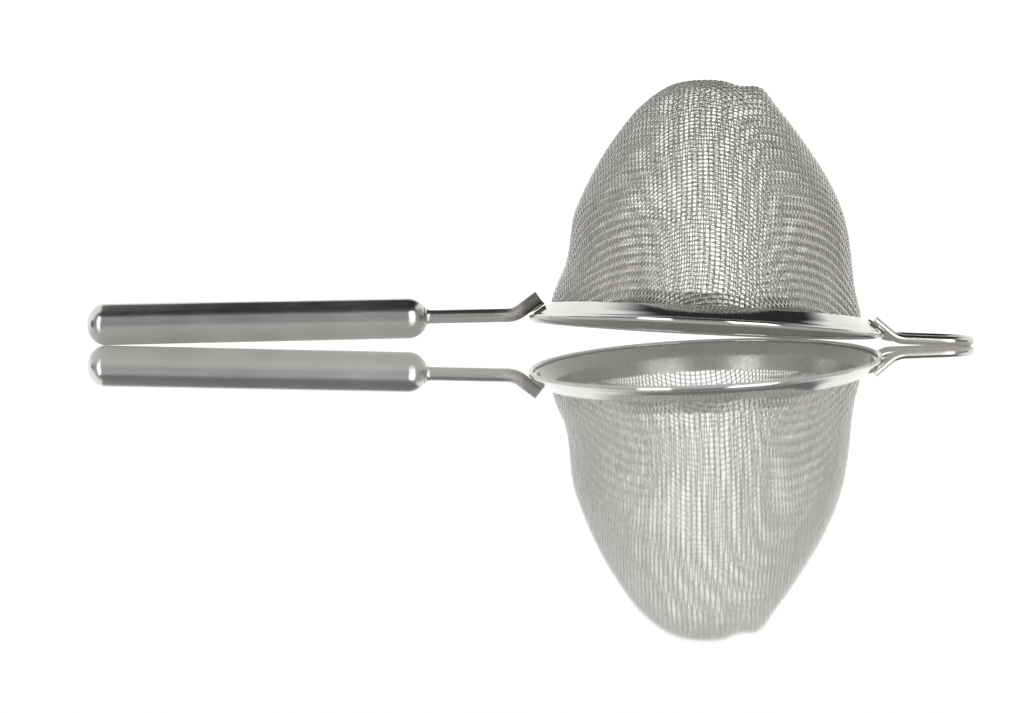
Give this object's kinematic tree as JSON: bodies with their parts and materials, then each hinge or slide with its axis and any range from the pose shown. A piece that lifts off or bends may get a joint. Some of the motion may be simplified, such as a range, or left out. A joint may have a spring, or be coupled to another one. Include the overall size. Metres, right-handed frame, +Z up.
{
  "type": "conical wire mesh strainer",
  "caption": "Hand-held conical wire mesh strainer with a clamped steel rim, hollow tubular handle on a bent rod and a wire rest loop, lying mesh side up.",
  "frame": {"origin": "centre of the bounding box on the surface the strainer lies on", "axes": "+Z up, away from the resting surface and along the bag; +X from the handle towards the rest loop; +Y to the left when looking along +X"},
  "size_m": [0.2278, 0.0908, 0.0682],
  "materials": {
    "polished_steel": "mirror polished stainless steel",
    "polished_wire": "polished stainless steel wire",
    "wire_cloth": "bright drawn stainless steel wire, plain weave",
    "satin_steel": "satin stainless steel",
    "satin_rod": "satin drawn stainless steel rod",
    "weld_metal": "rough heat-tinted weld"
  },
  "bodies": {
    "root": {"rim_flange": "polished_steel", "clamp_ring": "polished_steel", "rest_loop": "polished_wire", "mesh_bag": "wire_cloth", "handle_tube": "satin_steel", "handle_rear_cap": "satin_steel", "handle_front_cap": "satin_steel", "handle_stem": "satin_rod", "stem_cap_weld": "satin_rod", "stem_weld_near": "weld_metal", "stem_weld_far": "weld_metal", "loop_weld_near": "weld_metal", "loop_weld_far": "weld_metal"}
  },
  "joints": []
}
